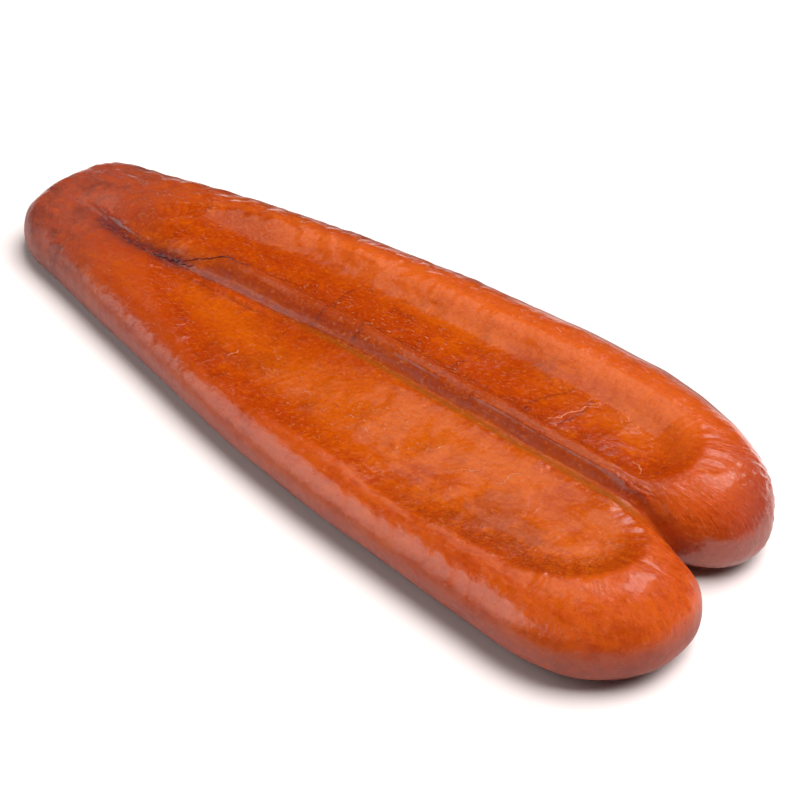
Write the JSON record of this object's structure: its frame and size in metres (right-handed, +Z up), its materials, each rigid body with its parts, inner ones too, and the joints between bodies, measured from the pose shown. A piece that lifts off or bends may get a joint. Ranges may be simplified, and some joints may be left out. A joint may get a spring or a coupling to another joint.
{
  "type": "dried mullet roe",
  "caption": "Whole pair of salted, pressed and dried fish roe lobes, joined at one end and free and rounded at the other, with a flat underside to rest on.",
  "frame": {"origin": "middle of the footprint on the surface that the roe rests on", "axes": "+X along the pair from its joined end to its free ends, +Y across the pair towards the narrower-reaching rear lobe, +Z up"},
  "size_m": [0.2196, 0.09, 0.0182],
  "materials": {
    "cured_roe": "amber-orange cured roe under a thin glossy membrane: waxy and slightly translucent, with fine egg grain, dark blood vessels and browner rims"
  },
  "bodies": {
    "root": {"mullet_roe": "cured_roe"}
  },
  "joints": []
}
